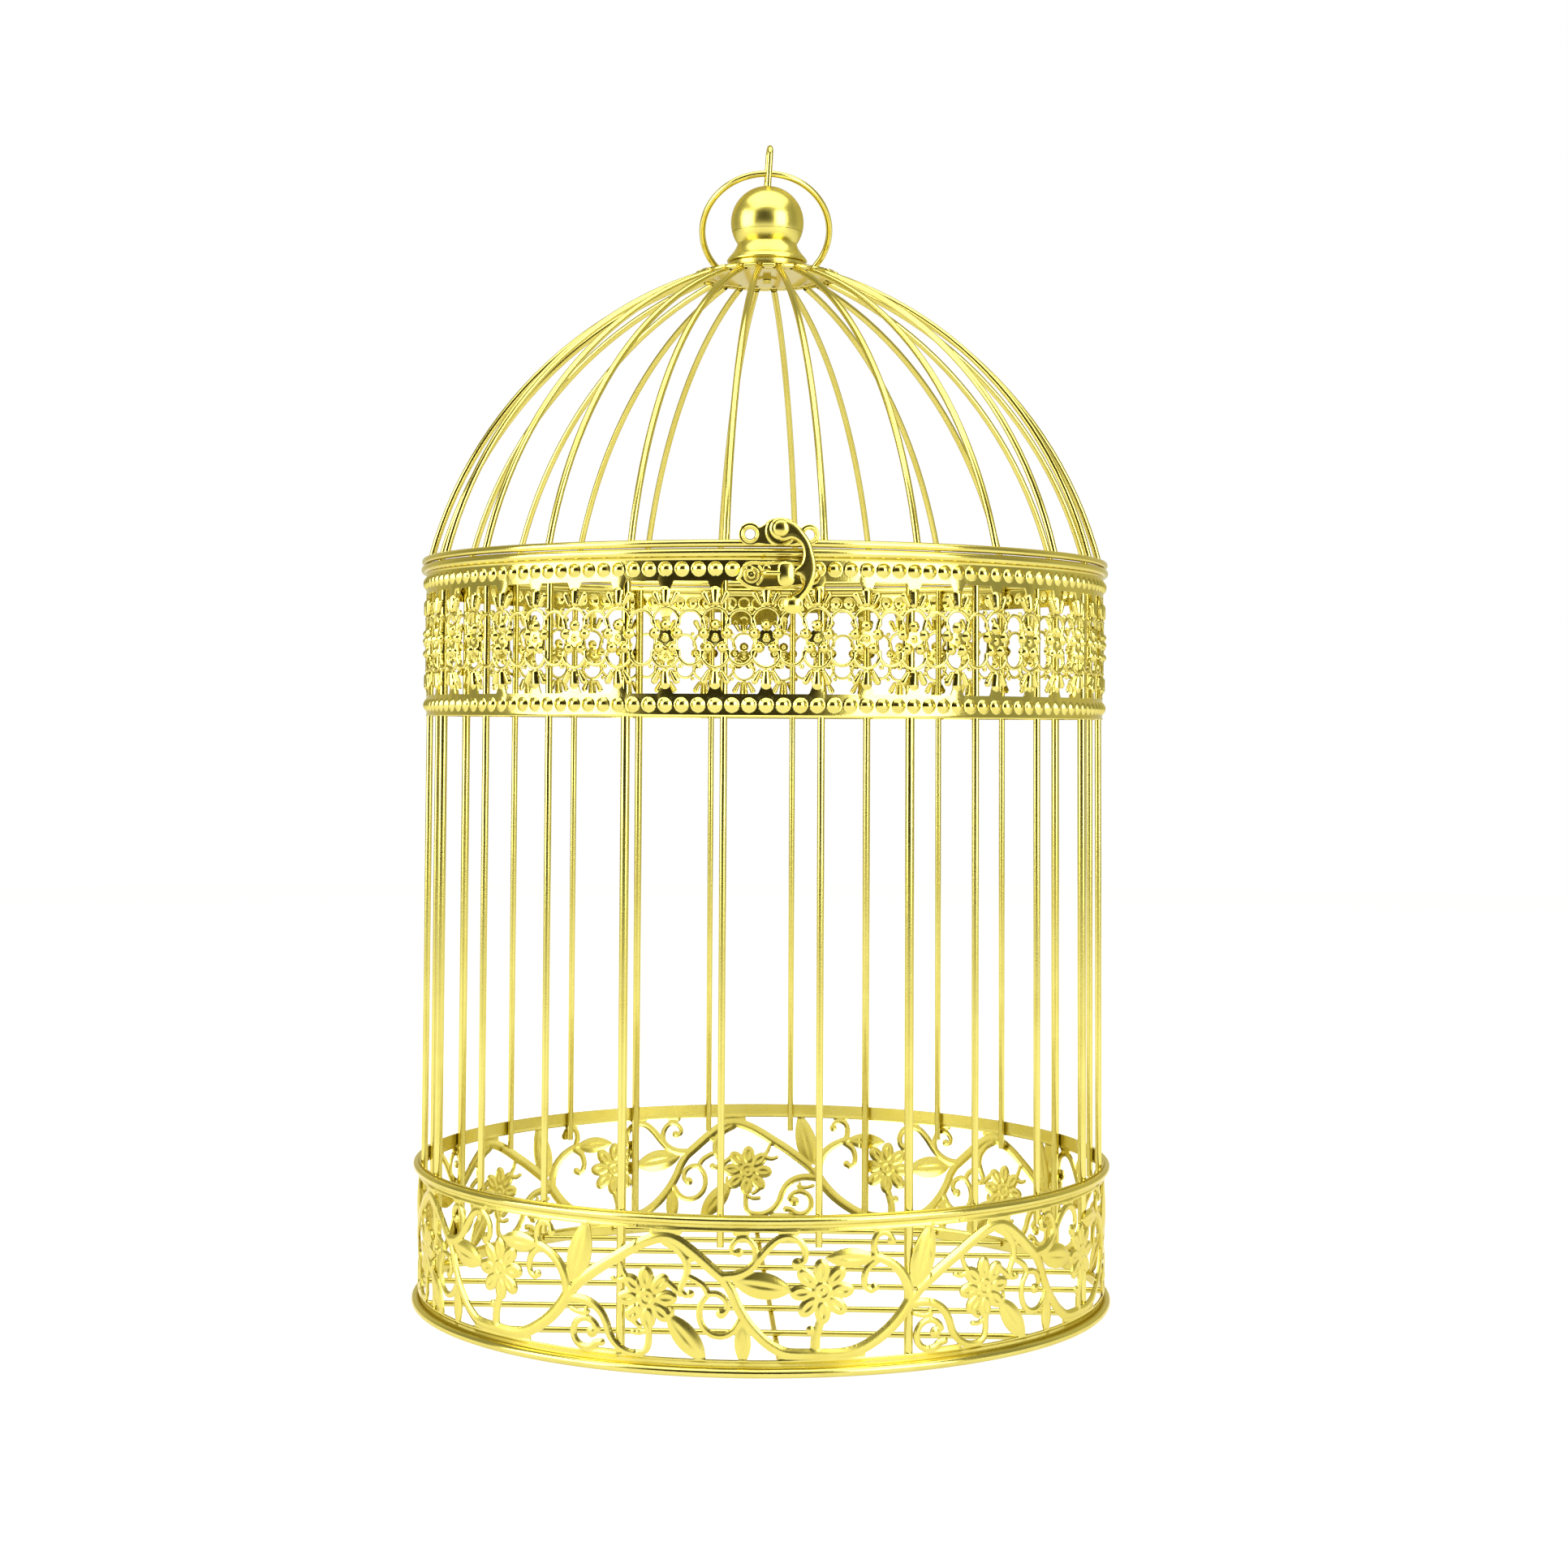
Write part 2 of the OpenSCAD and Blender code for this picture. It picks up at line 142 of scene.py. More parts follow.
class Field:
    """Union of shapes on one grid."""

    def __init__(self, u, v):
        self.U, self.V = np.meshgrid(u, v, indexing="ij")
        self.d = np.full(self.U.shape, -1e3)
        self.h = np.zeros(self.U.shape)

    def add(self, d, h):
        """Joins a shape to what is there already."""
        self.d = np.maximum(self.d, d)
        self.h = np.maximum(self.h, np.where(d > -0.8, h, 0))

    def stroke(self, points, w0, w1=None, high=0.6, smooth=True):
        """Line of width w0 at its start and w1 at its end."""
        w1 = w0 if w1 is None else w1
        line = curve(points) if smooth else np.array(points, float)
        seg = np.hypot(*(line[1:] - line[:-1]).T)
        along = np.concatenate([[0], np.cumsum(seg)]) / max(seg.sum(), 1e-9)
        lo = line.min(0) - w0 - w1 - 1
        hi = line.max(0) + w0 + w1 + 1
        box = (self.U > lo[0]) & (self.U < hi[0]) & (self.V > lo[1]) & (self.V < hi[1])
        if not box.any():
            return
        x, y = self.U[box], self.V[box]
        best = np.full(x.shape, -1e3)
        half = np.full(x.shape, w0 / 2)
        for i in range(len(seg)):
            if seg[i] < 1e-9:
                continue
            ax, ay = line[i]
            dx, dy = line[i + 1] - line[i]
            t = np.clip(((x - ax) * dx + (y - ay) * dy) / seg[i] ** 2, 0, 1)
            r = (w0 + (w1 - w0) * (along[i] + t * (along[i + 1] - along[i]))) / 2
            dist = r - np.hypot(x - ax - t * dx, y - ay - t * dy)
            closer = dist > best
            best = np.where(closer, dist, best)
            half = np.where(closer, r, half)
        d = np.full(self.U.shape, -1e3)
        h = np.zeros(self.U.shape)
        d[box] = best
        h[box] = dome(best, half, high)
        self.add(d, h)

    def disc(self, x, y, r, high=0.6):
        """Round boss."""
        d = r - np.hypot(self.U - x, self.V - y)
        self.add(d, dome(d, r, high))

    def box(self, x0, x1, y0, y1, high=0.0, edge=1.0):
        """Rectangle, flat unless a height is given."""
        d = np.minimum(np.minimum(self.U - x0, x1 - self.U), np.minimum(self.V - y0, y1 - self.V))
        self.add(d, dome(d, edge, high))

    def ridge(self, dist, wide, high):
        """Raised line where dist is zero, on what is there already."""
        self.h = self.h + high * np.exp(-(dist / wide) ** 2)

    def hole(self, x, y, r):
        """Round hole through whatever is there."""
        self.d = np.minimum(self.d, np.hypot(self.U - x, self.V - y) - r)

    def leaf(self, x0, y0, x1, y1, wide, high=0.9, groove=0.55, skew=0.0):
        """Pointed leaf from one tip to the other, with a groove down the middle."""
        mid = np.array([(x0 + x1) / 2, (y0 + y1) / 2])
        along = np.array([x1 - x0, y1 - y0])
        long = np.hypot(*along)
        along = along / long
        s = (self.U - mid[0]) * along[0] + (self.V - mid[1]) * along[1]
        t = -(self.U - mid[0]) * along[1] + (self.V - mid[1]) * along[0]
        s = s + skew * long * 0.12 * np.cos(np.clip(2 * s / long, -1, 1) * math.pi / 2)
        r = (long ** 2 + wide ** 2) / (4 * wide)
        d = np.minimum(r - np.hypot(s, t - (r - wide / 2)), r - np.hypot(s, t + (r - wide / 2)))
        h = dome(d, wide / 2, high)
        inside = np.clip(1 - np.abs(s) / (long * 0.42), 0, 1) ** 0.5
        h = h - groove * np.exp(-(t / 0.55) ** 2) * inside
        self.add(d, np.maximum(h, 0.05))

    def flower(self, x, y, turn=2.0, reach=9.7):
        """Eight round petals, each with a raised oval line, round a ringed centre."""
        def petal_axes(i):
            a = math.radians(turn + i * 45)
            c, s = math.cos(a), math.sin(a)
            return (self.U - x) * c + (self.V - y) * s, -(self.U - x) * s + (self.V - y) * c

        self.disc(x, y, 4.9, 0.25)
        for i in range(8):
            p, q = petal_axes(i)
            r0 = reach - 3.45
            n = np.sqrt(((p - r0) / 3.45) ** 2 + (q / 2.45) ** 2)
            d = (1 - n) * 2.45
            self.add(d, dome(d, 1.6, 0.55))
        for i in range(8):
            p, q = petal_axes(i)
            n = np.sqrt(((p - 6.3) / 2.75) ** 2 + (q / 1.2) ** 2)
            self.ridge((n - 1) * 1.3, 0.42, 0.42)
            self.h = self.h - 0.15 * np.exp(-np.clip(n, 0, 9) ** 4)
        r = np.hypot(self.U - x, self.V - y)
        self.ridge(r - 2.1, 0.42, 0.6)
        self.h = self.h + 0.5 * np.exp(-(r / 0.8) ** 2)


def sheet_mesh(field, place, thick, name, flat=False):
    """Turns a field into a closed sheet, or one with a flat back; place(u, v, h) gives metres."""
    U, V, d, h = field.U.copy(), field.V.copy(), field.d.copy(), field.h
    nu, nv = U.shape
    cell = U[1, 0] - U[0, 0]
    gu, gv = np.gradient(d, cell, V[0, 1] - V[0, 0])
    g = np.maximum(np.hypot(gu, gv), 0.4)
    # corners close to the edge are moved on to it
    near = np.abs(d) < 0.38 * cell * g
    near[0, :] = near[-1, :] = False
    near[:, 0] = near[:, -1] = False
    step = np.where(near, d / g ** 2, 0)
    U -= step * gu
    V -= step * gv
    d = np.where(near, 1e-9, d)
    idx = np.arange(nu * nv).reshape(nu, nv)
    a, b = idx[:-1, :-1].ravel(), idx[1:, :-1].ravel()
    c, e = idx[1:, 1:].ravel(), idx[:-1, 1:].ravel()
    odd = ((np.arange(nu - 1)[:, None] + np.arange(nv - 1)[None]) % 2).ravel() == 1
    t1 = np.where(odd[:, None], np.stack([a, b, c], 1), np.stack([a, b, e], 1))
    t2 = np.where(odd[:, None], np.stack([a, c, e], 1), np.stack([b, c, e], 1))
    tri = np.vstack([t1, t2])
    P = np.stack([U.ravel(), V.ravel(), h.ravel()], 1)
    D = d.ravel()
    ins = D[tri] > 0
    n_in = ins.sum(1)
    faces = [tri[n_in == 3]]
    base = len(P)
    edge_key = {}
    for k in (1, 2):
        sel = tri[n_in == k]
        flag = ins[n_in == k]
        # each triangle is turned so that the corner alone on its side comes first
        lone = np.argmax(flag if k == 1 else ~flag, axis=1)
        r = np.arange(len(sel))
        v0, v1, v2 = sel[r, lone], sel[r, (lone + 1) % 3], sel[r, (lone + 2) % 3]
        ends = []
        for w in (v1, v2):
            lo, hi = np.minimum(v0, w), np.maximum(v0, w)
            key = lo.astype(np.int64) * (nu * nv) + hi
            ends.append((lo, hi, key))
        edge_key[k] = (v0, v1, v2, ends)
    # one new point where the edge of the shape crosses each side of a triangle
    keys = np.concatenate([en[2] for k in (1, 2) for en in edge_key[k][3]])
    los = np.concatenate([en[0] for k in (1, 2) for en in edge_key[k][3]])
    his = np.concatenate([en[1] for k in (1, 2) for en in edge_key[k][3]])
    _, first, inv = np.unique(keys, return_index=True, return_inverse=True)
    lo, hi = los[first], his[first]
    t = D[lo] / (D[lo] - D[hi])
    cut = P[lo] + (P[hi] - P[lo]) * t[:, None]
    P = np.vstack([P, cut])
    pos = 0
    for k in (1, 2):
        v0, v1, v2, ends = edge_key[k]
        m = len(v0)
        e1 = base + inv[pos:pos + m]
        e2 = base + inv[pos + m:pos + 2 * m]
        pos += 2 * m
        if k == 1:
            faces.append(np.stack([v0, e1, e2], 1))
        else:
            faces.append(np.stack([e1, v1, v2], 1))
            faces.append(np.stack([e1, v2, e2], 1))
    F = np.vstack(faces)
    F = F[(F[:, 0] != F[:, 1]) & (F[:, 1] != F[:, 2]) & (F[:, 0] != F[:, 2])]
    used, F = np.unique(F, return_inverse=True)
    F = F.reshape(-1, 3)
    P = P[used]
    n = len(P)
    e = np.vstack([F[:, [0, 1]], F[:, [1, 2]], F[:, [2, 0]]])
    es = np.sort(e, 1)
    key = es[:, 0].astype(np.int64) * n + es[:, 1]
    _, first, count = np.unique(key, return_index=True, return_counts=True)
    rim = e[first[count == 1]]
    front = place(P[:, 0], P[:, 1], P[:, 2])
    back = place(P[:, 0], P[:, 1], P[:, 2] * (not flat) - thick)
    verts = np.vstack([front, back])
    quads = np.stack([rim[:, 1], rim[:, 0], rim[:, 0] + n, rim[:, 1] + n], 1)
    return make_mesh(name, verts, [F, F[:, ::-1] + n, quads])


def make_mesh(name, verts, groups, smooth_angle=42.0):
    """Mesh object from vertices and arrays of triangles or quads."""
    mesh = bpy.data.meshes.new(name)
    groups = [g for g in groups if len(g)]
    loops = np.concatenate([g.ravel() for g in groups]).astype(np.int32)
    sizes = np.concatenate([np.full(len(g), g.shape[1]) for g in groups])
    starts = np.concatenate([[0], np.cumsum(sizes)[:-1]]).astype(np.int32)
    mesh.vertices.add(len(verts))
    mesh.vertices.foreach_set("co", np.asarray(verts, np.float32).ravel())
    mesh.loops.add(len(loops))
    mesh.loops.foreach_set("vertex_index", loops)
    mesh.polygons.add(len(starts))
    mesh.polygons.foreach_set("loop_start", starts)
    mesh.update(calc_edges=True)
    mesh.validate()
    mesh.polygons.foreach_set("use_smooth", np.ones(len(mesh.polygons), bool))
    mesh.set_sharp_from_angle(angle=math.radians(smooth_angle))
    obj = bpy.data.objects.new(name, mesh)
    bpy.context.scene.collection.objects.link(obj)
    return obj


def finish_piece(obj, mat, slot, body, *nodes):
    """Gives a piece its material and body, and hides the CAD nodes it stands for."""
    obj.data.materials.clear()
    obj.data.materials.append(mat)
    if nodes:
        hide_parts(*nodes)
    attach(obj, body)


def on_cylinder(radius):
    """Sheet rolled round the cage's axis; u runs round it from the front."""
    def place(u, v, h):
        a = u / radius
        r = (radius + h) * MM
        return np.stack([r * np.sin(a), -r * np.cos(a), v * MM], 1)
    return place


# ---------------------------------------------------------------- lace band

LACE_R = 116.6
LACE_N = 47
LACE_P = 2 * math.pi * LACE_R / LACE_N
LACE_PHASE = -3.85
LACE_LOW = 201.3
LACE_TOP = 249.9
LACE_MID = 225.45
LACE_BEADS_Z = (205.0, 246.3)
LACE_BEAD_R = 2.2


def lace_field(cells, step):
    """One motif, centred in its pitch: strips with beads, tulips, arches and a flower."""
    u = (np.arange(cells + 1) / cells - 0.5) * LACE_P
    v = np.arange(LACE_LOW, 249.95, step)
    f = Field(u, v)
    f.box(-20, 20, LACE_LOW, 208.3, 0.0)
    f.box(-20, 20, 242.7, LACE_TOP, 0.0)
    for side in (-1, 1):
        def y(z):
            return LACE_MID + side * z
        # trapezoid tab between the strip and the tulip
        f.stroke([(0, y(15.2)), (0, y(17.5))], 3.2, 5.2, 0.1, smooth=False)
        # three petals of the tulip
        for s in (-1, 1):
            f.stroke([(s * 2.0, y(10.4)), (s * 2.7, y(11.7)), (s * 3.5, y(13.2))], 1.4, 2.1, 0.7)
        f.stroke([(0, y(10.7)), (0, y(14.0))], 2.5, 3.2, 0.9, smooth=False)
        # arch over the flower
        arc = [(4.25 * math.cos(t), y(4.9 + 4.25 * math.sin(t)))
               for t in np.radians(np.arange(-12, 193, 8))]
        f.stroke(arc, 1.0, 1.0, 0.35, smooth=False)
        for s in (-1, 1):
            f.disc(s * 4.75, y(8.75), 0.75, 0.5)
            # ring between this motif and the next
            x0 = s * LACE_P / 2
            oval = []
            for t in np.radians(np.arange(0, 181, 6)):
                c, q = math.cos(t), math.sin(t)
                oval.append((x0 + 4.6 * math.copysign(abs(c) ** 0.86, c), y(8.35 * abs(q) ** 0.86)))
            f.stroke(oval, 1.0, 1.0, 0.35, smooth=False)
    f.disc(0, LACE_MID, 2.6, 0.12)
    for k in range(5):
        a = math.radians(90 + 72 * k)
        f.disc(3.8 * math.cos(a), LACE_MID + 0.05 + 3.8 * math.sin(a), 1.7, 1.25)
    f.disc(0, LACE_MID + 0.05, 1.15, 0.9)
    # row of beads pressed into each strip
    for z in LACE_BEADS_Z:
        for k in range(-2, 3):
            q = np.hypot(f.U - k * LACE_P / 3, f.V - z) / LACE_BEAD_R
            f.h = np.maximum(f.h, 1.15 * np.clip(1 - q * q, 0, 1))
    for z in (201.5, 249.6):
        f.ridge(f.V - z, 0.3, 0.25)
    return f


def lace_pieces():
    """The motif repeated round the cage, in sectors of five motifs and one of two."""
    cells, step = ((58, 0.268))
    one = lace_field(cells, step)
    cuts = list(range(0, LACE_N, 5)) + [LACE_N]
    for n, (i0, i1) in enumerate(zip(cuts[:-1], cuts[1:])):
        cols = np.arange((i1 - i0) * cells + 1)
        pick = cols % cells
        pick[-1] = 0
        f = Field(np.array([0.0, 1.0]), np.array([0.0, 1.0]))
        u = LACE_PHASE + (i0 - LACE_N / 2) * LACE_P + cols * LACE_P / cells
        f.U = np.repeat(u[:, None], one.V.shape[1], 1)
        f.V = np.repeat(one.V[:1], len(cols), 0)
        f.d = one.d[pick]
        f.h = one.h[pick]
        obj = sheet_mesh(f, on_cylinder(LACE_R), 0.6, "lace_band_%d" % n)
        finish_piece(obj, GOLD, "gold_paint", "cage", "lace_band")


# ---------------------------------------------------------------- floral base band

BAND_R = 118.6
BAND_P = 110.4
BAND_TURN = 2 * math.pi * BAND_R
BAND_LOW = 0.9
BAND_SECTORS = 8
SEAM = 236.0


def floral(f):
    """One length of the running flower and vine pattern; its ends lie over the next one's."""
    S = f.stroke
    # main vine: up over flower A, down under flower B, up to the next crossing
    S([(-67.5, 21.8), (-64.5, 25.2), (-60, 28.6), (-55, 32.1), (-50, 35.2), (-45, 38.3), (-40, 40.8),
       (-35, 42.2), (-30.5, 41.3), (-25, 37.6), (-20, 33.4), (-16.2, 30.2)], 3.6, 3.4, 0.8)
    S([(-16.2, 30.2), (-13.6, 26.4), (-11.6, 21.8), (-8.4, 16.6), (-4.2, 12), (0, 8.9), (4, 7.4),
       (12, 7.0), (20, 6.8), (25.6, 7.8), (31, 10.4), (36, 13.9), (40.2, 18.2), (42.9, 22)], 3.0, 3.8, 0.8)
    f.box(1, 28, 4, 7.0, 0.2)
    # crest joins the top border
    S([(-38.5, 43.6), (-34, 44.4), (-29.8, 43.8)], 1.6, 1.6, 0.4)
    # vine from the crossing up over flower B's left side
    S([(-16.2, 30.8), (-12, 31.3), (-8.4, 33), (-5.4, 36), (-2.4, 39.6), (0.8, 42.3), (4.2, 43),
       (7.3, 41.6), (9, 38.6), (8.6, 35.6), (7.2, 34.7)], 3.0, 1.9, 0.8)
    f.disc(6.8, 34.7, 1.9, 0.9)
    S([(1.5, 44.2), (6.5, 44.4)], 1.6, 1.6, 0.3, smooth=False)
    # curl on that vine, tied to the top border
    S([(-6.8, 34.2), (-6.1, 37.5), (-6.8, 40.4), (-9, 42.5), (-11.6, 42.2), (-13.4, 40.2),
       (-13.1, 38.3), (-11.4, 37.9)], 2.0, 1.5, 0.7)
    f.disc(-11.3, 38.2, 1.35, 0.8)
    S([(-12.2, 44.2), (-9, 44.2)], 2.0, 2.0, 0.3, smooth=False)
    # stem inside the crest down to flower A's right side
    S([(-34, 41), (-30.2, 38.8), (-27.7, 35.4), (-27.2, 31.8), (-28.3, 28.9), (-29.2, 26.6),
       (-27.9, 24.7), (-26.2, 25)], 3.0, 1.5, 0.7)
    f.disc(-26.2, 25.1, 1.25, 0.8)
    f.disc(-25.9, 36, 1.2, 0.6)
    # wavy stem on to the big spiral
    S([(-27.4, 30.6), (-24.6, 29.4), (-22.2, 27.8), (-20.6, 25.5)], 1.8, 1.9, 0.6)
    S([(-20.6, 25.4), (-17.9, 25.4), (-15.5, 23.9), (-14.7, 21.4), (-15.5, 19.7), (-16.8, 19.4)],
      1.9, 1.7, 0.7)
    f.disc(-16.6, 19.5, 1.6, 0.9)
    S([(-20.6, 25.4), (-22.8, 22.2), (-23.3, 18.6), (-22.2, 15.2), (-19.4, 12.9), (-15.8, 12.6),
       (-12.8, 14.3), (-10.8, 17.4)], 1.9, 2.0, 0.7)
    # loop stem from the previous crossing to the foot of flower A
    S([(-67, 20.8), (-63, 21), (-59.2, 20.2), (-55.8, 18), (-53.7, 14.6), (-52.4, 11), (-50, 8),
       (-46.6, 6.2), (-43, 6), (-40.4, 7), (-39.4, 9.6), (-39.4, 13.6)], 2.8, 1.9, 0.7)
    f.box(-62, -49, 4, 6.5, 0.2)
    # spiral under that loop
    ring = [(-60.8 + 4.5 * math.cos(t), 10.7 + 4.5 * math.sin(t))
            for t in np.radians(np.arange(20, 331, 15))]
    S(ring + [(-55.2, 8.2)], 1.9, 2.2, 0.7)
    f.disc(-58.6, 11.2, 1.85, 0.9)
    S([(-60.6, 15), (-60.7, 18.4)], 1.5, 1.2, 0.5, smooth=False)
    S([(-66, 17.6), (-63, 16.8), (-60, 17.2)], 1.4, 1.3, 0.5)
    # stem of flower B
    S([(12.2, 8), (12.4, 12.2), (13.7, 16.6)], 3.0, 2.6, 0.5)
    f.disc(10.7, 14.4, 1.3, 0.6)
    # vine from the next crossing up-left over flower B's right side
    S([(43, 21.6), (42.3, 26), (40.4, 30.1), (37.2, 33.3), (33.4, 35.4), (30.6, 36.4)], 3.8, 2.4, 0.8)
    S([(31.8, 35.4), (30.7, 39), (31.3, 42.2), (33.6, 43.5), (35.9, 42.6), (36.7, 40.8)], 2.2, 1.6, 0.7)
    f.disc(36.5, 40.7, 1.35, 0.8)
    S([(31.6, 44.3), (35.4, 44.3)], 1.8, 1.8, 0.3, smooth=False)
    S([(31.5, 35), (28.7, 32.9), (27.6, 29.9), (28, 27.2), (29.8, 25.8), (31, 26.6)], 2.4, 1.6, 0.7)
    f.disc(31, 26.8, 1.3, 0.8)
    # small twigs beside flower A
    S([(-46.6, 29), (-48, 31.2), (-48.9, 33.3), (-50.2, 33.8)], 1.7, 1.2, 0.5)
    S([(-46.6, 28.6), (-49.4, 27.9), (-51.6, 28.5)], 1.9, 1.3, 0.5)
    S([(-33.6, 28.4), (-31.3, 26.7), (-29.4, 24.8)], 2.2, 1.4, 0.6)
    S([(-33.6, 18.2), (-32, 19), (-31.9, 20.6)], 2.2, 1.0, 0.5)
    S([(-45.6, 17), (-43.4, 15), (-42.2, 14.2)], 2.0, 1.3, 0.5)
    S([(-44.6, 12.4), (-42.4, 12.2), (-40.2, 13)], 1.5, 1.3, 0.5)
    f.flower(-40, 23.2, 3.0)
    f.flower(14.3, 26.2, 2.0, 10.0)
    # leaves
    f.leaf(-33.6, 18.8, -21.4, 4.6, 7.4, 1.0)
    f.leaf(-13.4, 29.6, 5.2, 26.6, 8.2, 1.0)
    f.leaf(15.2, 36.3, 31.4, 36.0, 6.0, 0.9)
    f.leaf(44.6 - BAND_P, 24.6, 50.1 - BAND_P, 46.4, 8.2, 1.0, skew=0.5)
    f.leaf(44.6, 24.6, 50.1, 46.4, 8.2, 1.0, skew=0.5)
    f.leaf(-10.1, 17.2, -9.9, 3.6, 5.0, 0.8)
    f.hole(44.4, 25.4, 0.75)
    f.hole(44.4 - BAND_P, 25.4, 0.75)


def band_pieces():
    """The pattern repeated round the base, between two plain borders."""
    step = 0.35
    v = np.arange(BAND_LOW, 49.8, step)
    cuts = np.linspace(SEAM - BAND_TURN, SEAM, BAND_SECTORS + 1)
    for n in range(BAND_SECTORS):
        count = int(round((cuts[n + 1] - cuts[n]) / step))
        u = np.linspace(cuts[n], cuts[n + 1], count + 1)
        f = Field(u, v)
        f.box(-1e3, 1e3, BAND_LOW, 5.3, 0.0)
        f.box(-1e3, 1e3, 44.5, 49.75, 0.0)
        for k in range(-6, 4):
            shift = k * BAND_P
            if cuts[n + 1] < shift - 70 or cuts[n] > shift + 55:
                continue
            part = (u > shift - 75) & (u < shift + 60)
            g = Field(u[part] - shift, v)
            floral(g)
            f.d[part] = np.maximum(f.d[part], g.d)
            f.h[part] = np.maximum(f.h[part], 0.8 * soften(g.h, 2))
        # overlapped ends of the strip
        over = 5.0 - np.abs(((f.U - SEAM + BAND_TURN / 2) % BAND_TURN) - BAND_TURN / 2)
        f.add(over - 2.0, np.zeros(f.U.shape))
        f.ridge(f.V - 5.0, 0.4, 0.25)
        f.ridge(f.V - 44.8, 0.4, 0.25)
        obj = sheet_mesh(f, on_cylinder(BAND_R), 0.6, "base_band_%d" % n)
        finish_piece(obj, SPUN, "gold_paint", "cage", "base_filigree_band")


lace_pieces()
band_pieces()


# ---------------------------------------------------------------- latch

PIVOT_X = 0.2
PIVOT_Z = 258.2
RIVETS_X = (-8.5, 10.3)
CATCH_Z = 244.4
CATCH_R = 117.3
EAR_X = 9.05
EAR_Z = 256.6


def closed(points, per=6):
    """Smooth closed line through the given points."""
    p = [points[-1]] + list(points) + [points[0], points[1]]
    return curve(p, per)[per:-per - 1]


def area_distance(f, line):
    """Distance to a closed line, positive inside it."""
    best = np.full(f.U.shape, 1e9)
    inside = np.zeros(f.U.shape, bool)
    for (ax, ay), (bx, by) in zip(line, np.roll(line, -1, axis=0)):
        dx, dy = bx - ax, by - ay
        span = dx * dx + dy * dy
        if span < 1e-12:
            continue
        t = np.clip(((f.U - ax) * dx + (f.V - ay) * dy) / span, 0, 1)
        best = np.minimum(best, np.hypot(f.U - ax - t * dx, f.V - ay - t * dy))
        if ay != by:
            cross = ((f.V >= ay) != (f.V >= by)) & (f.U < ax + (f.V - ay) * dx / dy)
            inside ^= cross
    return np.where(inside, best, -best)


def line_distance(f, line):
    """Distance to an open line."""
    best = np.full(f.U.shape, 1e9)
    for (ax, ay), (bx, by) in zip(line[:-1], line[1:]):
        dx, dy = bx - ax, by - ay
        t = np.clip(((f.U - ax) * dx + (f.V - ay) * dy) / max(dx * dx + dy * dy, 1e-12), 0, 1)
        best = np.minimum(best, np.hypot(f.U - ax - t * dx, f.V - ay - t * dy))
    return best


def on_front(y):
    """Flat plate facing the front, its face at this distance from the centre."""
    def place(u, v, h):
        return np.stack([u * MM, -(y + h) * MM, v * MM], 1)
    return place


def grid(x0, x1, z0, z1, fine):
    step = fine
    return Field(np.arange(x0, x1 + step, step), np.arange(z0, z1 + step, step))


def hook_plate_piece():
    """Plate on the lid: two ears with holes and a raised seat between them."""
    f = grid(-13.2, 13.2, 252.0, 262.2, 0.09)
    f.add(3.45 - np.hypot(f.U + EAR_X, f.V - EAR_Z), np.zeros(f.U.shape))
    f.add(3.1 - np.hypot(f.U - EAR_X, f.V - EAR_Z), np.zeros(f.U.shape))
    waist = closed([(-9, 259.2), (-6.4, 258.7), (-4.6, 259.6), (-3.2, 260.9), (0.2, 261.6), (3.6, 260.9),
                    (4.8, 259.5), (6.4, 258.6), (9, 258.9), (9, 253.9), (6.4, 254.0), (3, 253.2),
                    (-3, 253.2), (-6.4, 253.6), (-9, 253.5)])
    f.add(area_distance(f, waist), np.zeros(f.U.shape))
    f.d = np.minimum(f.d, f.V - 252.75)
    f.h = 0.2 * np.sqrt(np.clip(f.d / 0.3, 0, 1))
    for x, reach in ((-EAR_X, 2.55), (EAR_X, 2.3)):
        r = np.hypot(f.U - x, f.V - EAR_Z)
        f.ridge(r - reach + 0.35, 0.3, 0.34)
    # raised round seat under the hook
    r = np.hypot(f.U - PIVOT_X, f.V - 257.6)
    f.h = f.h + 0.30 / (1 + np.exp((r - 4.35) / 0.16))
    f.ridge(r - 4.2, 0.3, 0.15)
    f.hole(-EAR_X, EAR_Z, 1.55)
    f.hole(EAR_X, EAR_Z, 1.5)
    f.hole(PIVOT_X, PIVOT_Z, 1.1)
    f.h = np.minimum(f.h, 0.62)
    obj = sheet_mesh(f, on_cylinder(118.55), 0.95, "hook_plate_sheet")
    finish_piece(obj, BRASS, "antique_brass", "lid", "hook_plate")


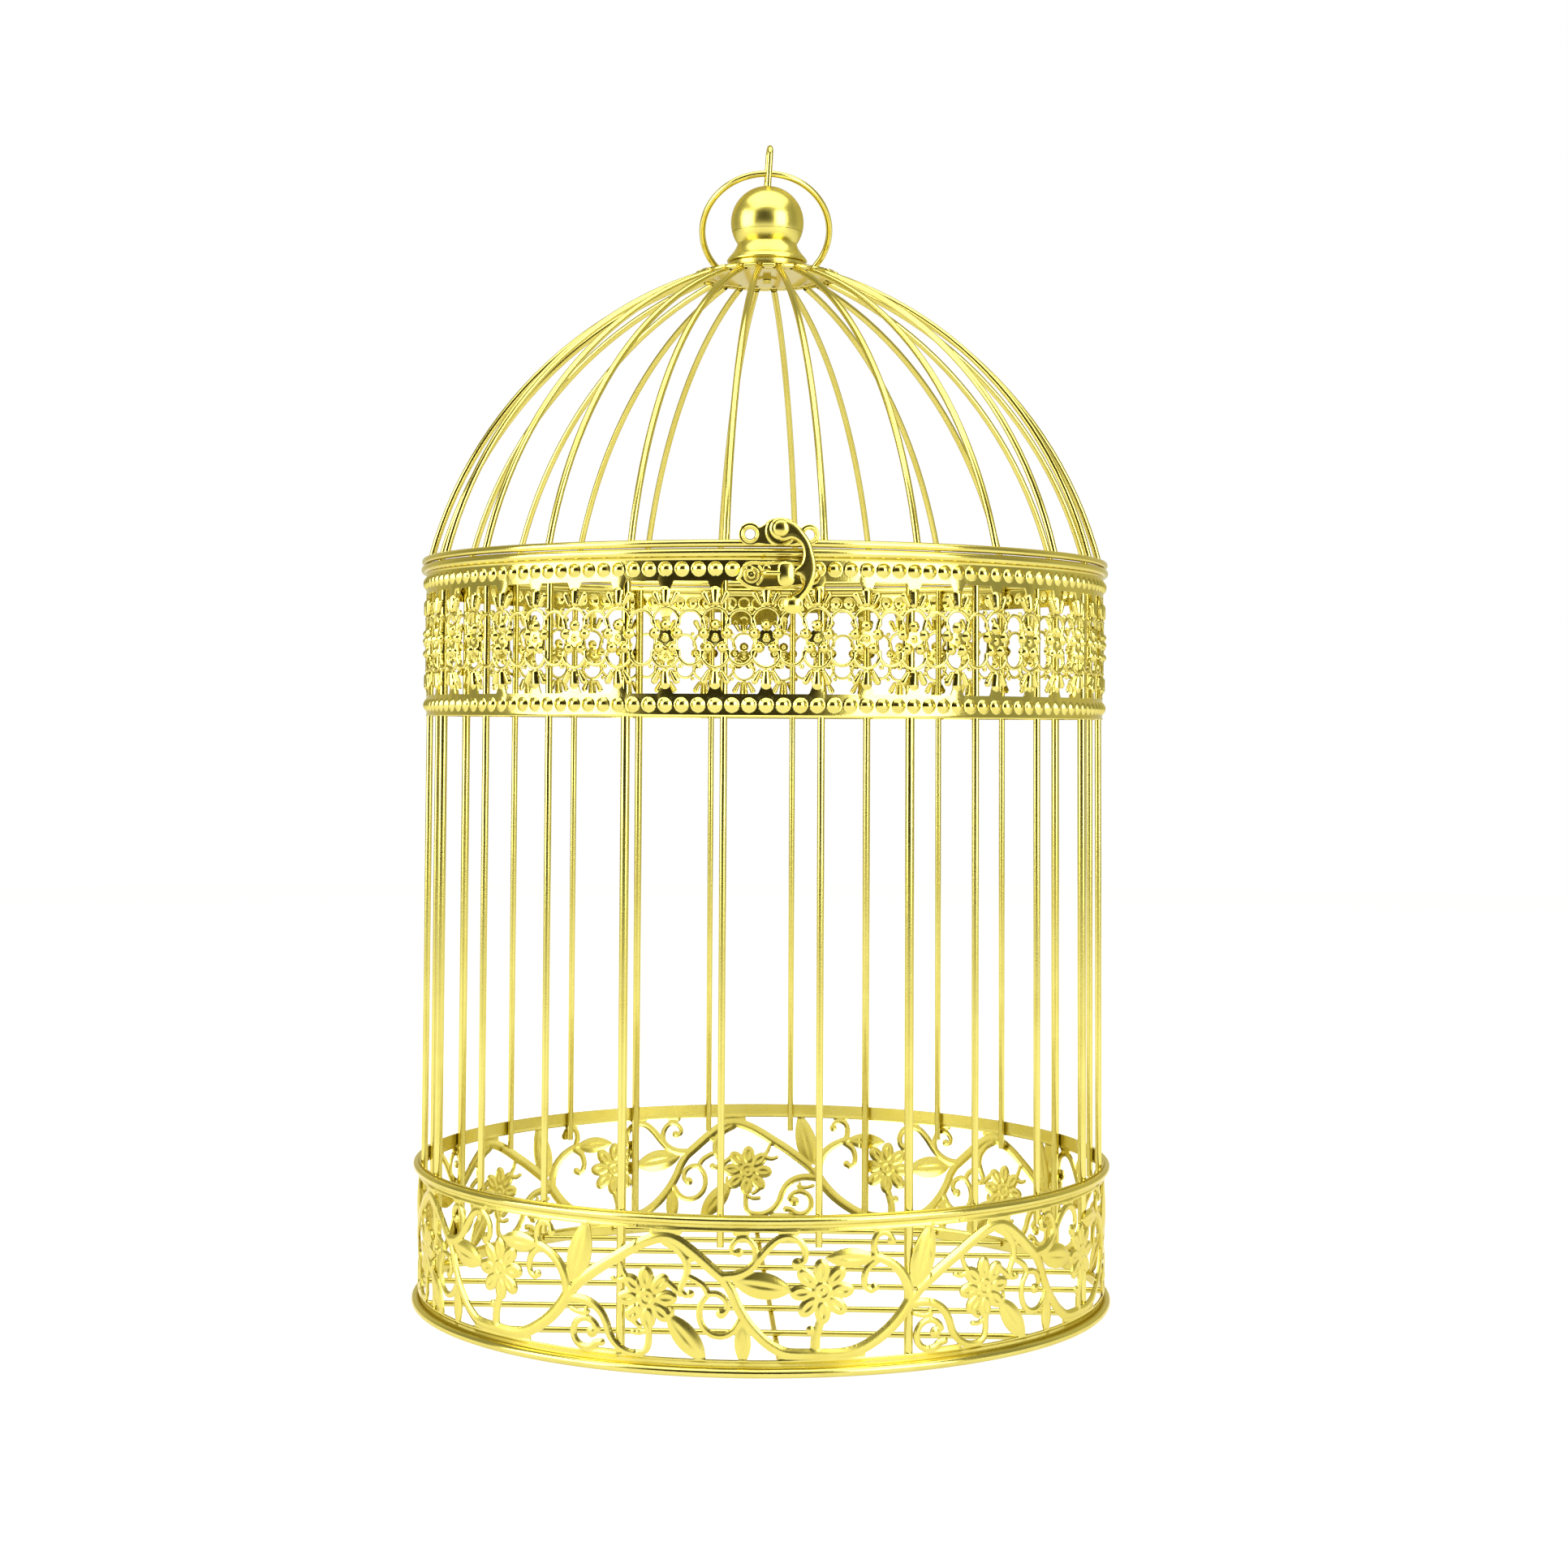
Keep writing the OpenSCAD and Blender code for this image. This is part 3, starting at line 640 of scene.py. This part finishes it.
def catch_plate_piece():
    """Plate on the body with a raised border line."""
    f = grid(-13.4, 13.4, 239.0, 249.4, 0.09)
    line = closed([(-13.1, 243.1), (-12.2, 244.6), (-11.7, 246.3), (-10.2, 247.8), (-8.2, 248.6),
                   (-5.0, 248.4), (-1.0, 248.6), (3.0, 248.5), (6.5, 248.0), (9.6, 247.4), (11.9, 246.4),
                   (12.6, 244.4), (11.8, 242.2), (9.4, 241.2), (6.0, 240.6), (2.0, 240.1), (-2.0, 239.9),
                   (-6.0, 239.7), (-9.0, 240.1), (-11.0, 241.1), (-12.2, 242.2)])
    d = area_distance(f, line)
    f.add(d, np.zeros(d.shape))
    f.h = 0.15 * np.sqrt(np.clip(d / 0.25, 0, 1))
    f.ridge(d - 0.6, 0.24, 0.3)
    # sunk seats of the two rivets
    for x in RIVETS_X:
        r = np.hypot(f.U - x, f.V - CATCH_Z)
        f.ridge(r - 2.1, 0.24, 0.25)
        f.h = f.h - 0.2 / (1 + np.exp((r - 1.9) / 0.1))
    # pressed scroll beside each rivet
    for scroll in ([(-6.2, 247.0), (-5.2, 245.2), (-5.4, 243.2), (-6.6, 241.6)],
                   [(7.2, 246.8), (6.6, 245.2), (6.7, 243.4), (7.4, 241.9)]):
        f.ridge(line_distance(f, curve(scroll)), 0.24, 0.28)
    f.h = np.clip(f.h, -0.1, 0.6)
    obj = sheet_mesh(f, on_cylinder(CATCH_R), 0.9, "catch_plate_sheet")
    finish_piece(obj, BRASS, "antique_brass", "cage", "catch_plate")


# the hook's outer and inner sides, from the pivot down and from the tail up
HOOK_OUT = [(0.9, 261.2), (3.5, 260.3), (5.7, 258.9), (7.9, 256.3), (9.4, 253.7), (10.3, 250.7),
            (10.9, 247.8), (10.9, 244.8), (10.2, 241.9), (8.7, 239.0), (7.1, 237.0), (6.6, 235.2)]
HOOK_TIP = [(2.0, 236.9), (3.2, 238.2), (5.4, 239.2), (6.7, 240.8), (6.9, 242.6), (6.0, 244.0),
            (5.0, 244.3), (4.4, 244.8), (4.3, 245.7), (5.2, 246.5), (6.5, 247.8), (7.1, 249.9),
            (6.9, 252.2), (5.7, 254.0), (3.5, 255.1), (1.3, 254.5), (0.2, 254.6)]


def clasp_hook_piece():
    """Curved hook with a round head at the pivot and a thick drop at its tail."""
    f = grid(-4.0, 11.6, 232.2, 262.2, 0.11)
    body = curve(HOOK_OUT, 5)
    inner = curve(HOOK_TIP, 5)
    d = area_distance(f, np.vstack([body, [(4.4, 235.8)], inner, [(-1.6, 256.0), (-0.6, 259.8)]]))
    d = np.maximum(d, 3.35 - np.hypot(f.U - PIVOT_X, f.V - PIVOT_Z))
    f.add(d, np.zeros(d.shape))
    f.h = dome(d, np.interp(f.V, [237, 246], [2.2, 0.45]), 0.42) + dome(d, 1.9, 0.3)
    r = line_distance(f, inner)
    f.h = f.h + 0.12 * np.exp(-((r - 0.5) / 0.28) ** 2) * (d > 0)
    # drop-shaped tail
    drop = 2.9 - np.hypot(f.U - 4.0, f.V - 235.4)
    f.d = np.maximum(f.d, drop)
    f.h = soften(np.maximum(f.h, np.where(drop > 0, dome(drop, 2.9, 1.3), 0)), 12)
    f.hole(PIVOT_X, PIVOT_Z, 1.26)
    obj = sheet_mesh(f, on_front(120.35), 0.72, "clasp_hook_cast", flat=True)
    finish_piece(obj, BRASS, "antique_brass", "latch_hook", "clasp_hook")


def tube(points, radius, name):
    """Round wire along a list of points in millimetres; radius may change along it."""
    sides = 16
    p = np.array(points, float)
    n = len(p)
    rad = np.broadcast_to(np.asarray(radius, float), (n,))
    tan = np.gradient(p, axis=0)
    tan /= np.linalg.norm(tan, axis=1)[:, None]
    side = np.cross(tan[0], (0, 0, 1.0) if abs(tan[0][2]) < 0.9 else (1.0, 0, 0))
    side /= np.linalg.norm(side)
    verts = []
    turn = np.linspace(0, 2 * math.pi, sides, endpoint=False)
    for i in range(n):
        side = side - tan[i] * np.dot(side, tan[i])
        side /= np.linalg.norm(side)
        up = np.cross(tan[i], side)
        ring = p[i] + rad[i] * (np.cos(turn)[:, None] * side + np.sin(turn)[:, None] * up)
        verts.append(ring)
    V = np.vstack(verts + [p[:1], p[-1:]]) * MM
    i, j = np.meshgrid(np.arange(n - 1), np.arange(sides), indexing="ij")
    k = (j + 1) % sides
    quads = np.stack([i * sides + j, i * sides + k, (i + 1) * sides + k, (i + 1) * sides + j], -1)
    s = np.arange(sides)
    e = (s + 1) % sides
    first = np.stack([e, s, np.full(sides, n * sides)], 1)
    last = np.stack([(n - 1) * sides + s, (n - 1) * sides + e, np.full(sides, n * sides + 1)], 1)
    return make_mesh(name, V, [quads.reshape(-1, 4), first, last])


def catch_stud_piece():
    """Bent side arm and the stud's head with rounded corners."""
    arm = [(-5.2, -117.2, 244.6)] + [(-5.2, y, 244.6) for y in (-119.0, -120.5, -121.4)]
    arm += [(-5.2 + 2 * (1 - math.cos(t)), -121.4 - 2 * math.sin(t), 244.6)
            for t in np.radians(np.arange(12, 91, 13))]
    arm += [(-2.0, -123.4, 244.6), (0.6, -123.4, 244.6)]
    obj = tube(arm, 0.75, "stud_arm")
    finish_piece(obj, BRASS, "antique_brass", "cage", "catch_stud")
    f = grid(-1.4, 5.0, 240.2, 248.6, 0.08)
    x = np.abs(f.U - 1.8) / 2.6
    z = np.abs(f.V - CATCH_Z) / 3.65
    d = (1 - (x ** 3.4 + z ** 3.4) ** (1 / 3.4)) * 2.6
    f.add(d, np.zeros(d.shape))
    f.h = 0.35 * np.clip(d / 0.4, 0, 1) + 0.7 * (1 - np.clip(x, 0, 1) ** 2) * (1 - np.clip(z, 0, 1) ** 2)
    f.h = np.maximum(f.h - 0.08 * (f.U - 1.0), 0)
    obj = sheet_mesh(f, on_front(123.3), 0.6, "stud_head", flat=True)
    finish_piece(obj, BRASS, "antique_brass", "cage", "catch_stud")


def pin_head(name, x, z, y, r, high, node, body, dent=0.0):
    """Hammered round head facing the front."""
    f = grid(x - r - 0.3, x + r + 0.3, z - r - 0.3, z + r + 0.3, 0.07)
    q = np.hypot(f.U - x, f.V - z)
    f.add(r - q, np.zeros(q.shape))
    f.h = high * np.sqrt(np.clip(1 - (q / (r * 1.04)) ** 2, 0, 1)) - dent * np.exp(-(q / (0.35 * r)) ** 2)
    obj = sheet_mesh(f, on_front(y), 0.35, name, flat=True)
    finish_piece(obj, BRASS, "antique_brass", body, node)


def latch_pieces():
    hook_plate_piece()
    catch_plate_piece()
    clasp_hook_piece()
    catch_stud_piece()
    pin_head("pivot_head", 0.26, 258.25, 121.5, 2.4, 1.05, "hook_rivet", "lid")
    obj = tube([(PIVOT_X, y, PIVOT_Z) for y in (-117.7, -119.5, -121.6)], 1.2, "pivot_pin")
    finish_piece(obj, BRASS, "antique_brass", "lid", "hook_rivet")
    for n, x in enumerate(RIVETS_X):
        y = math.sqrt(CATCH_R ** 2 - x * x)
        pin_head("catch_rivet_%d" % n, x, CATCH_Z, y + 0.05, 1.35, 0.5, "catch_rivets", "cage", 0.12)
        obj = tube([(x, -y + back, CATCH_Z) for back in (2, 1, 0)], 0.85, "catch_shank_%d" % n)
        finish_piece(obj, BRASS, "antique_brass", "cage", "catch_rivets")


# ---------------------------------------------------------------- crown and finial

WIRE_N = 24
WIRE_PHASE = 6.9
CAP_R = 25.2
BALL_Z = 372.7
BALL_R = 12.6
BALL_INNER_R = 11.8
BALL_SEAM_Z = 369.3
EYE_FOOT_Z = 385.3
EYE_LEAN = 3.3
EYE_TWIST = 4
EYE_HALF = 2.9
THREAD_Z = 351.6
THREAD_PITCH = 0.56


def revolve(name, profile, steps, shape=None):
    """Turned shape from a closed outline of (radius, height); shape(angle, r, z) may move a point."""
    p = np.array(profile, float)
    m = len(p)
    angle = np.linspace(0, 2 * math.pi, steps, endpoint=False)
    A, K = np.meshgrid(angle, np.arange(m), indexing="ij")
    R, Z = p[K, 0], p[K, 1]
    if shape:
        R, Z = shape(A, R, Z)
    V = np.stack([R * np.sin(A), -R * np.cos(A), Z], -1).reshape(-1, 3) * MM
    i, j = np.meshgrid(np.arange(steps), np.arange(m), indexing="ij")
    a = i * m + j
    b = ((i + 1) % steps) * m + j
    c = ((i + 1) % steps) * m + (j + 1) % m
    d = i * m + (j + 1) % m
    return make_mesh(name, V, [np.stack([a, b, c, d], -1).reshape(-1, 4)], 35.0)


def arc_points(cx, cz, r, a0, a1, n):
    """Arc as a list of points, its angles in degrees."""
    return [(cx + r * math.cos(t), cz + r * math.sin(t)) for t in np.radians(np.linspace(a0, a1, n))]


def crown_cap_pieces():
    """Cone with a rolled lip, and its flat underside that the dome wires enter."""
    wires = np.radians(WIRE_PHASE + 360 / WIRE_N * np.arange(WIRE_N))
    top = [(r, 354.7 + (CAP_R - r) * 0.243) for r in np.linspace(25.0, 14.2, 24)]
    profile = arc_points(24.75, 354.0, 0.68, -150, 80, 12) + top
    profile += [(12.0, 357.4), (6.0, 357.4), (1.5, 357.4), (1.5, 356.6), (13.6, 356.6)]
    profile += [(r, 354.1 + (CAP_R - r) * 0.225) for r in np.linspace(16.0, 24.0, 8)]

    def nick(a, r, z):
        """Notch in the lip where each wire enters."""
        gap = np.min(np.abs((a[..., None] - wires + math.pi) % (2 * math.pi) - math.pi), -1) * r
        low = np.clip((355.6 - z) / 1.2, 0, 1) * (r > 22)
        bite = np.exp(-(gap / 0.95) ** 4) * low
        return r - 1.9 * bite, z + 0.25 * bite

    obj = revolve("crown_cap_spun", profile, 720, nick)
    finish_piece(obj, GOLD, "gold_paint", "lid", "crown_cap")
    # underside with a slot for each wire
    f = grid(-25.0, 25.0, -25.0, 25.0, 0.16)
    r = np.hypot(f.U, f.V)
    f.add(24.6 - r, np.zeros(r.shape))
    f.h = 0.18 * np.exp(-((r - 20.4) / 0.5) ** 2)
    for a in wires:
        along = f.U * math.sin(a) - f.V * math.cos(a)
        beside = np.abs(f.U * math.cos(a) + f.V * math.sin(a))
        slot = 1.55 - np.hypot(np.maximum(np.abs(along - 23.0) - 0.8, 0), beside)
        f.d = np.minimum(f.d, -slot)
    f.hole(0, 0, 1.6)

    def under(u, v, h):
        return np.stack([u, v, 353.55 - h], 1) * MM

    obj = sheet_mesh(f, under, 0.4, "crown_under")
    finish_piece(obj, GOLD, "gold_paint", "lid", "crown_cap")


def finial_pieces():
    """Collar with a rolled lip, hollow flare and neck, and the ball on it."""
    lip = arc_points(13.3, 359.4, 0.6, -95, 60, 9)
    flare = curve([(13.3, 360.5), (12.3, 361.6), (11.3, 363.0), (10.6, 364.3), (10.2, 365.5)], 5)
    collar = [(11.6, 357.5), (12.3, 357.5), (12.5, 358.7)] + lip + flare.tolist()
    collar += [(9.9, 365.7), (9.4, 365.3), (9.4, 360.0), (1.5, 360.0), (1.5, 359.2), (11.6, 359.2)]
    obj = revolve("finial_collar_spun", collar, 96)
    finish_piece(obj, SPUN, "gold_paint", "lid", "finial_collar")
    # two spun parts of the ball, meeting in a fine seam below its middle
    seam = math.degrees(math.asin((BALL_SEAM_Z - BALL_Z) / BALL_R))
    for name, node, a0, a1 in (("ball_low", "finial_ball_lower", seam - 0.25, -83.5),
                               ("ball_high", "finial_ball_upper", seam + 0.25, 83.5)):
        line = arc_points(0, BALL_Z, BALL_R, a0, a1, 40)
        line += arc_points(0, BALL_Z, BALL_INNER_R, a1, a0, 24)
        if a1 < 0:
            line = line[::-1]
        obj = revolve(name, line, 128)
        finish_piece(obj, SPUN, "gold_paint", "lid", node)


def eye_pieces():
    """Threaded rod through the finial, with a long closed eye that stands turned and leaning."""
    lean, twist = math.radians(EYE_LEAN), math.radians(EYE_TWIST)

    def at(y, z):
        x = z * math.sin(lean)
        return (x * math.cos(twist) - y * math.sin(twist), x * math.sin(twist) + y * math.cos(twist),
                EYE_FOOT_Z + z * math.cos(lean))

    low, high = -1.5, 10.3
    loop = [(-EYE_HALF, z) for z in np.linspace(low, high, 16)]
    loop += [(-EYE_HALF * math.cos(t), high + EYE_HALF * math.sin(t))
             for t in np.radians(np.arange(9, 172, 9))]
    loop += [(EYE_HALF, z) for z in np.linspace(high, low, 16)]
    loop += [(EYE_HALF * math.cos(t), low - EYE_HALF * math.sin(t))
             for t in np.radians(np.arange(9, 181, 9))]
    obj = tube([at(y, z) for y, z in loop], 1.0, "eye_wire")
    finish_piece(obj, GOLD, "gold_paint", "lid", "eye_bolt")
    steps = np.arange(THREAD_Z, 384.4, 0.14)
    thread = 1.4 + 0.09 * np.cos((steps - THREAD_Z) * 2 * math.pi / THREAD_PITCH)
    obj = tube([(0, 0, z) for z in steps], np.where(steps < 357.5, thread, 1.45), "eye_rod")
    finish_piece(obj, GOLD, "gold_paint", "lid", "eye_bolt")


def ring_piece(name, node, body, radius, z, thick, seams):
    """Wire bent to a ring, never quite round or flat, with ground butt welds."""
    steps = 480
    sides = 20
    t = np.linspace(0, 2 * math.pi, steps, endpoint=False)
    r = radius + 0.06 * np.sin(3 * t + 0.7) + 0.04 * np.sin(7 * t)
    h = z + 0.04 * np.sin(2 * t + 1.1) + 0.03 * np.sin(5 * t + 0.4)
    weld = np.zeros(steps)
    for seam in seams:
        away = np.abs((t - math.radians(seam) + math.pi) % (2 * math.pi) - math.pi) * radius
        weld += 0.11 * np.exp(-(away / 1.1) ** 2) - 0.16 * np.exp(-(away / 0.35) ** 2)
    turn = np.linspace(0, 2 * math.pi, sides, endpoint=False)
    rr = r[:, None] + (thick / 2 + weld[:, None]) * np.cos(turn)
    zz = h[:, None] + (thick / 2 + weld[:, None]) * np.sin(turn)
    V = np.stack([rr * np.sin(t)[:, None], -rr * np.cos(t)[:, None], zz], -1).reshape(-1, 3) * MM
    i, j = np.meshgrid(np.arange(steps), np.arange(sides), indexing="ij")
    k, m = (i + 1) % steps, (j + 1) % sides
    quads = np.stack([i * sides + j, k * sides + j, k * sides + m, i * sides + m], -1).reshape(-1, 4)
    finish_piece(make_mesh(name, V, [quads]), GOLD, "gold_paint", body, node)


latch_pieces()
crown_cap_pieces()
finial_pieces()
eye_pieces()
ring_piece("lid_ring_wire", "lid_ring", "lid", 116.9, 253.9, 2.4, (151,))
ring_piece("rim_ring_wire", "body_rim_ring", "cage", 116.9, 251.1, 2.85, (-148,))
ring_piece("base_ring_wire", "base_ring_upper", "cage", 119.4, 47.9, 2.55, (212,))
ring_piece("foot_ring_wire", "base_ring_lower", "cage", 119.8, 1.55, 2.9, (163,))

# ---------------------------------------------------------------- CAD nodes

BRASS_NODES = {m["node"] for m in frame["record"]["subparts"] if m["material_slot"] == "antique_brass"}
for name, obj in frame["nodes"].items():
    obj.data.materials.clear()
    obj.data.materials.append(BRASS if name in BRASS_NODES else GOLD)

# ---------------------------------------------------------------- studio

# strength of the light from the room, near the camera, and added behind the object
ROOM = 0.40
DARK = 0.035
BEHIND = 0.30
WARM_DARK = (1.0, 0.80, 0.35, 1)
WARM_ROOM = (1.0, 0.97, 0.66, 1)
WHITE = (1, 1, 1, 1)


def room_light():
    """Dim warm room, darkest a little to the left of the camera and lighter behind the object."""
    world = bpy.data.worlds.new("studio")
    bpy.context.scene.world = world
    world.use_nodes = True
    tree = world.node_tree
    tree.nodes.clear()
    out = tree.nodes.new("ShaderNodeOutputWorld")
    back = tree.nodes.new("ShaderNodeBackground")
    coord = tree.nodes.new("ShaderNodeTexCoord")

    def fade(source, low, high, value):
        """Smooth rise from 0 to value as source goes from low to high."""
        node = tree.nodes.new("ShaderNodeMapRange")
        node.interpolation_type = "SMOOTHSTEP"
        node.inputs["From Min"].default_value = low
        node.inputs["From Max"].default_value = high
        node.inputs["To Max"].default_value = value
        tree.links.new(source, node.inputs["Value"])
        return node.outputs["Result"]

    def join(kind, a, b):
        """Sum or larger of two values, each a socket or a number."""
        node = tree.nodes.new("ShaderNodeMath")
        node.operation = kind
        for socket, value in zip(node.inputs, (a, b)):
            if isinstance(value, float):
                socket.default_value = value
            else:
                tree.links.new(value, socket)
        return node.outputs[0]

    aim = tree.nodes.new("ShaderNodeVectorMath")
    aim.operation = "DOT_PRODUCT"
    aim.inputs[1].default_value = (-0.233, -0.97, 0.07)
    tree.links.new(coord.outputs["Generated"], aim.inputs[0])
    room = join("ADD", fade(aim.outputs["Value"], 0.91, 0.79, ROOM), DARK)
    room = join("ADD", room, fade(aim.outputs["Value"], -0.2, -0.7, BEHIND))
    # seen straight on, the room is as white as the paper
    seen = tree.nodes.new("ShaderNodeLightPath").outputs["Is Camera Ray"]
    colour = WARM_DARK
    away = fade(aim.outputs["Value"], 0.91, 0.79, 1.0)
    for factor, other in ((away, WARM_ROOM), (seen, WHITE)):
        mix = tree.nodes.new("ShaderNodeMix")
        mix.data_type = "RGBA"
        tree.links.new(factor, mix.inputs[FACTOR])
        if isinstance(colour, tuple):
            mix.inputs[COLOUR_A].default_value = colour
        else:
            tree.links.new(colour, mix.inputs[COLOUR_A])
        mix.inputs[COLOUR_B].default_value = other
        colour = mix.outputs[MIXED]
    tree.links.new(colour, back.inputs["Color"])
    tree.links.new(join("MAXIMUM", room, seen), back.inputs["Strength"])
    tree.links.new(back.outputs["Background"], out.inputs["Surface"])


def table():
    """Round white paper that the object stands on."""
    sides = 48
    turn = np.linspace(0, 2 * math.pi, sides, endpoint=False)
    ring = [(2.4 * math.cos(t), 2.4 * math.sin(t), 0.0) for t in turn]
    mesh = bpy.data.meshes.new("paper")
    mesh.from_pydata(ring, [], [tuple(range(sides))])
    paper = bpy.data.objects.new("paper", mesh)
    bpy.context.scene.collection.objects.link(paper)
    mat = bpy.data.materials.new("paper")
    mat.use_nodes = True
    bsdf = mat.node_tree.nodes["Principled BSDF"]
    bsdf.inputs["Base Color"].default_value = (0.4, 0.4, 0.4, 1)
    bsdf.inputs["Roughness"].default_value = 0.95
    bsdf.inputs["Specular IOR Level"].default_value = 0.1
    bsdf.inputs["Emission Color"].default_value = (1, 1, 1, 1)
    bsdf.inputs["Emission Strength"].default_value = 0.8
    mesh.materials.append(mat)


def softbox(name, where, size, power, target):
    """Rectangular lamp turned to the target; places and sizes in metres, power in watts."""
    data = bpy.data.lights.new(name, "AREA")
    data.shape = "RECTANGLE"
    data.size = size[0]
    data.size_y = size[1]
    data.energy = power
    light = bpy.data.objects.new(name, data)
    bpy.context.scene.collection.objects.link(light)
    light.location = where
    light.rotation_euler = (Vector(target) - Vector(where)).to_track_quat("-Z", "Y").to_euler()


def lamps():
    """Far round on the left, nearer the front on the right, and one overhead."""
    for name, turn, wide, power in (("soft_left", -68, 0.9, 12.8), ("soft_right", 42, 0.75, 11.2)):
        t = math.radians(turn)
        softbox(name, (1.2 * math.sin(t), -1.2 * math.cos(t), 0.55), (wide, 0.9), power, (0, 0, 0.42))
    softbox("soft_top", (0.0, -0.33, 1.5), (2.3, 1.5), 26, (0, 0, 0.2))


def camera():
    """Nearly level, just below half the object's height, a little to the left of the front."""
    data = bpy.data.cameras.new("camera")
    data.sensor_width = 36.0
    data.lens = 60.674534
    data.clip_start = 0.05
    cam = bpy.data.objects.new("camera", data)
    scene = bpy.context.scene
    scene.collection.objects.link(cam)
    side = math.radians(2.1)
    far = 0.9196
    cam.location = (-far * math.sin(side), -far * math.cos(side), 0.19905)
    turn = Matrix.Rotation(-(side + 0.0075), 4, "Z")
    tilt = Matrix.Rotation(math.radians(90) - 0.0225, 4, "X")
    roll = Matrix.Rotation(0.0057, 4, "Z")
    cam.matrix_world = Matrix.Translation(cam.location) @ turn @ tilt @ roll
    scene.camera = cam
    scene.view_settings.view_transform = "Standard"
    scene.view_settings.look = "None"


room_light()
table()
lamps()
camera()
